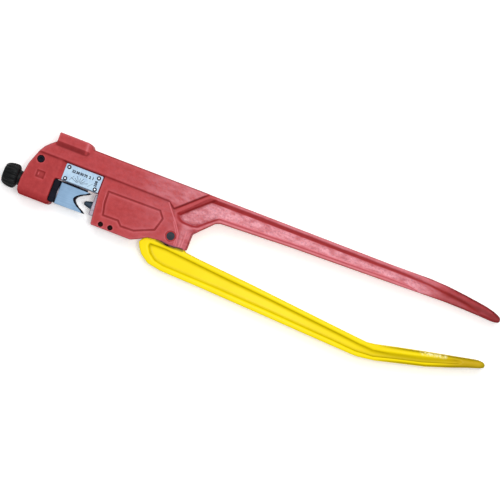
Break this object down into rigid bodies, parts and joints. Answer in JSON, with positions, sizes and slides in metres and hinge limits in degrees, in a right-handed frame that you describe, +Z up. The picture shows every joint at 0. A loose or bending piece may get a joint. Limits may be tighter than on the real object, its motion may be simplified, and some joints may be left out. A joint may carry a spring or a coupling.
{
  "type": "long-handled indent crimping tool",
  "caption": "Two-handed crimping tool for cable lugs: a C-shaped head holds an adjustable V die, and a fork handle drives a ram and punch into it through a cam and roller.",
  "frame": {"origin": "centre of the bounding box's base: the tool lies flat on its back, on the foot pad's side", "axes": "+X along the handles towards their tips, +Y from the moving handle to the spine, +Z up through the tool's thickness"},
  "size_m": [0.6444, 0.1278, 0.044],
  "materials": {
    "red_paint": "red paint, rough cast on the spine and smooth on the machined faces",
    "yellow_paint": "glossy yellow enamel",
    "black_oxide": "black oxide steel",
    "knob_plastic": "black moulded plastic",
    "die_steel": "ground tool steel with a blue tint",
    "dark_steel": "hardened blue-black steel",
    "bright_steel": "ground steel",
    "spring_steel": "drawn spring wire",
    "bronze": "bearing bronze",
    "plate_aluminium": "printed satin aluminium"
  },
  "bodies": {
    "frame": {"frame_casting": "red_paint", "pivot_pin": "black_oxide", "pivot_grub_screw": "black_oxide", "thrust_washer_back": "bronze", "thrust_washer_front": "bronze", "spring_anchor_pin": "dark_steel", "return_spring": "spring_steel", "ram_keeper": "dark_steel", "keeper_pin_1": "black_oxide", "keeper_pin_2": "black_oxide", "spindle_bush": "bronze", "head_cover": "black_oxide", "head_cover_screw_1": "black_oxide", "head_cover_screw_2": "black_oxide", "head_cover_screw_3": "black_oxide", "head_cover_screw_4": "black_oxide", "detent_plunger": "bright_steel", "detent_spring": "spring_steel", "cross_screw": "black_oxide", "size_plate": "plate_aluminium", "plate_rivet_1": "bright_steel", "plate_rivet_2": "bright_steel", "plate_rivet_3": "bright_steel", "plate_rivet_4": "bright_steel"},
    "handle": {"moving_handle": "yellow_paint", "pivot_bush_back": "bronze", "pivot_bush_front": "bronze", "cam": "bright_steel", "cam_pin": "dark_steel"},
    "ram": {"ram": "bright_steel", "punch": "dark_steel", "punch_set_screw": "black_oxide", "roller_pin": "dark_steel", "ram_spring_post": "dark_steel"},
    "roller": {"roller": "bright_steel"},
    "knob": {"knob": "knob_plastic", "spindle": "dark_steel", "spindle_collar": "bright_steel", "knob_screw": "bright_steel"},
    "die": {"v_die": "die_steel", "die_nut": "bronze", "die_key": "bright_steel"}
  },
  "joints": [
    {"name": "handle_swing", "type": "hinge", "parent": "frame", "child": "handle", "pos_m": [-0.0985, -0.0075, 0.022], "axis": [0, 0, 1], "range_deg": [-50, 0], "deforming": ["return_spring"]},
    {"name": "ram_slide", "type": "slide", "parent": "frame", "child": "ram", "axis": [1, 0, 0], "range_m": [0, 0.0181]},
    {"name": "roller_spin", "type": "hinge", "parent": "ram", "child": "roller", "pos_m": [-0.1465, -0.0075, 0.022], "axis": [0, 0, 1], "continuous": true},
    {"name": "knob_turn", "type": "hinge", "parent": "frame", "child": "knob", "pos_m": [-0.3085, -0.0075, 0.022], "axis": [1, 0, 0], "range_deg": [0, 902]},
    {"name": "die_slide", "type": "slide", "parent": "frame", "child": "die", "axis": [1, 0, 0], "range_m": [0, 0.005]}
  ],
  "couplings": [
    {"joint": "ram_slide", "follows": "handle_swing", "m_per_rad": -0.020626},
    {"joint": "knob_turn", "follows": "die_slide", "rad_per_m": 3141.6}
  ]
}
